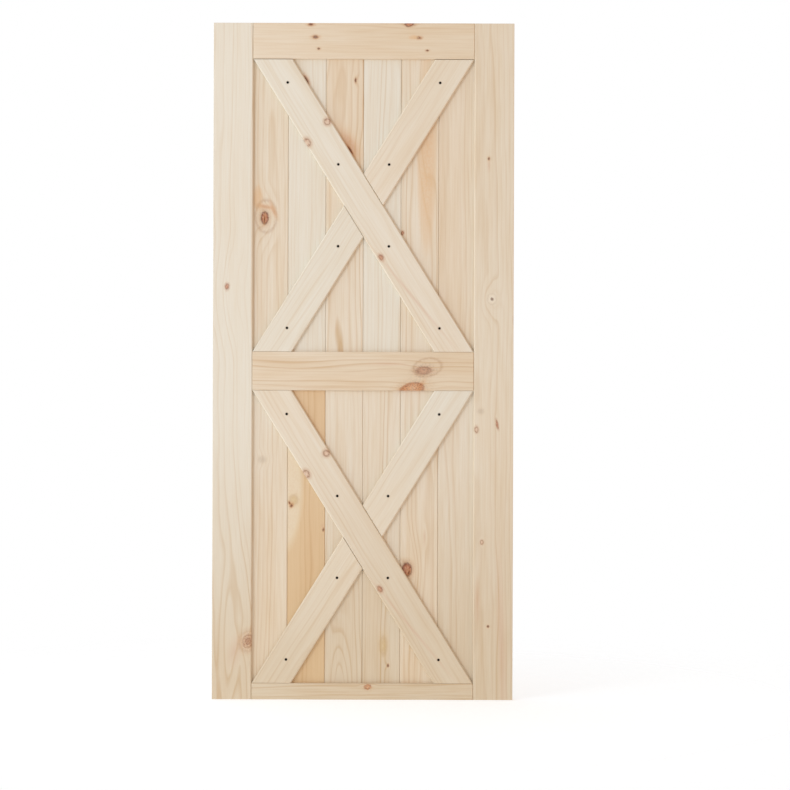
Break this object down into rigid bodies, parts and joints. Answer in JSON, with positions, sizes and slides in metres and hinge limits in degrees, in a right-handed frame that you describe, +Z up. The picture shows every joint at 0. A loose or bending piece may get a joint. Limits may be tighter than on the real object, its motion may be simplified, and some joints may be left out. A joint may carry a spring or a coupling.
{
  "type": "sliding barn door",
  "caption": "Unfinished pine barn door slab: grooved stiles and rails round upright V-jointed boards, with an X of flush, screwed braces on each panel.",
  "frame": {"origin": "middle of the bottom edge, half way through the door's thickness", "axes": "+X across the door to the right of someone facing the braced front, +Y from the braced front to the plain back, +Z up the door"},
  "size_m": [0.914, 0.035, 2.057],
  "materials": {
    "pine_frame": "planed, unfinished",
    "pine_boards": "planed, unfinished",
    "pine_braces": "planed, unfinished",
    "black_screws": "black phosphate"
  },
  "bodies": {
    "root": {"left_stile": "pine_frame", "right_stile": "pine_frame", "top_rail": "pine_frame", "middle_rail": "pine_frame", "bottom_rail": "pine_frame", "upper_board_1": "pine_boards", "upper_board_2": "pine_boards", "upper_board_3": "pine_boards", "upper_board_4": "pine_boards", "upper_board_5": "pine_boards", "upper_board_6": "pine_boards", "lower_board_1": "pine_boards", "lower_board_2": "pine_boards", "lower_board_3": "pine_boards", "lower_board_4": "pine_boards", "lower_board_5": "pine_boards", "lower_board_6": "pine_boards", "upper_long_brace": "pine_braces", "upper_short_brace_head": "pine_braces", "upper_short_brace_foot": "pine_braces", "lower_long_brace": "pine_braces", "lower_short_brace_head": "pine_braces", "lower_short_brace_foot": "pine_braces", "brace_screws": "black_screws"}
  },
  "joints": []
}
